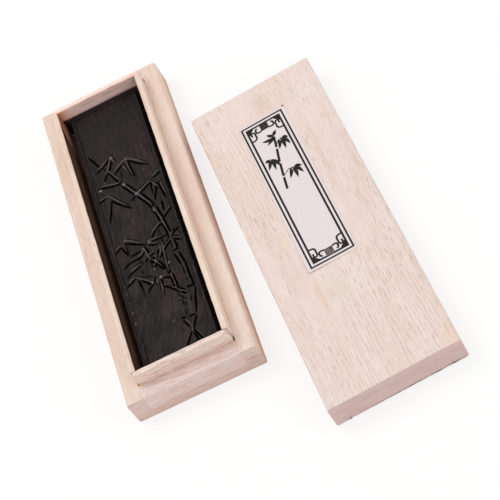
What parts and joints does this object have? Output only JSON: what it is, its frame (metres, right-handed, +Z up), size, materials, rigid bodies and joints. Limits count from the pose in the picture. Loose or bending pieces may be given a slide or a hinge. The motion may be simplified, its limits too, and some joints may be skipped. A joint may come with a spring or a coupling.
{
  "type": "boxed ink stick",
  "caption": "Black pressed ink stick with a raised bamboo picture, lying in an open glued wooden box, with the slip lid and its bordered paper label beside it.",
  "frame": {"origin": "centre of the box's underside, on the surface it stands on", "axes": "+Y along the box to its far end, +X across it to the side where the lid lies, +Z up"},
  "size_m": [0.1204, 0.1873, 0.0196],
  "materials": {
    "box_wood": "bare planed pale wood",
    "liner_wood": "bare sawn pale wood",
    "lid_wood": "bare planed pale wood",
    "label_paper": "matte paper",
    "pressed_ink": "matte with a dull bloom"
  },
  "bodies": {
    "base": {"base_floor": "box_wood", "base_side_left": "box_wood", "base_side_right": "box_wood", "base_end_near": "box_wood", "base_end_far": "box_wood", "liner_side_left": "liner_wood", "liner_side_right": "liner_wood", "liner_end_near": "liner_wood", "liner_end_far": "liner_wood"},
    "ink_stick": {"ink_stick": "pressed_ink"},
    "lid": {"lid_top": "lid_wood", "lid_side_left": "lid_wood", "lid_side_right": "lid_wood", "lid_end_near": "lid_wood", "lid_end_far": "lid_wood", "paper_label": "label_paper"}
  },
  "joints": [
    {"name": "ink_stick_lift", "type": "slide", "parent": "base", "child": "ink_stick", "axis": [0, 0, 1], "range_m": [0, 0.05]},
    {"name": "lid_lift", "type": "slide", "parent": "base", "child": "lid", "axis": [0, 0, 1], "range_m": [0, 0.06]}
  ]
}
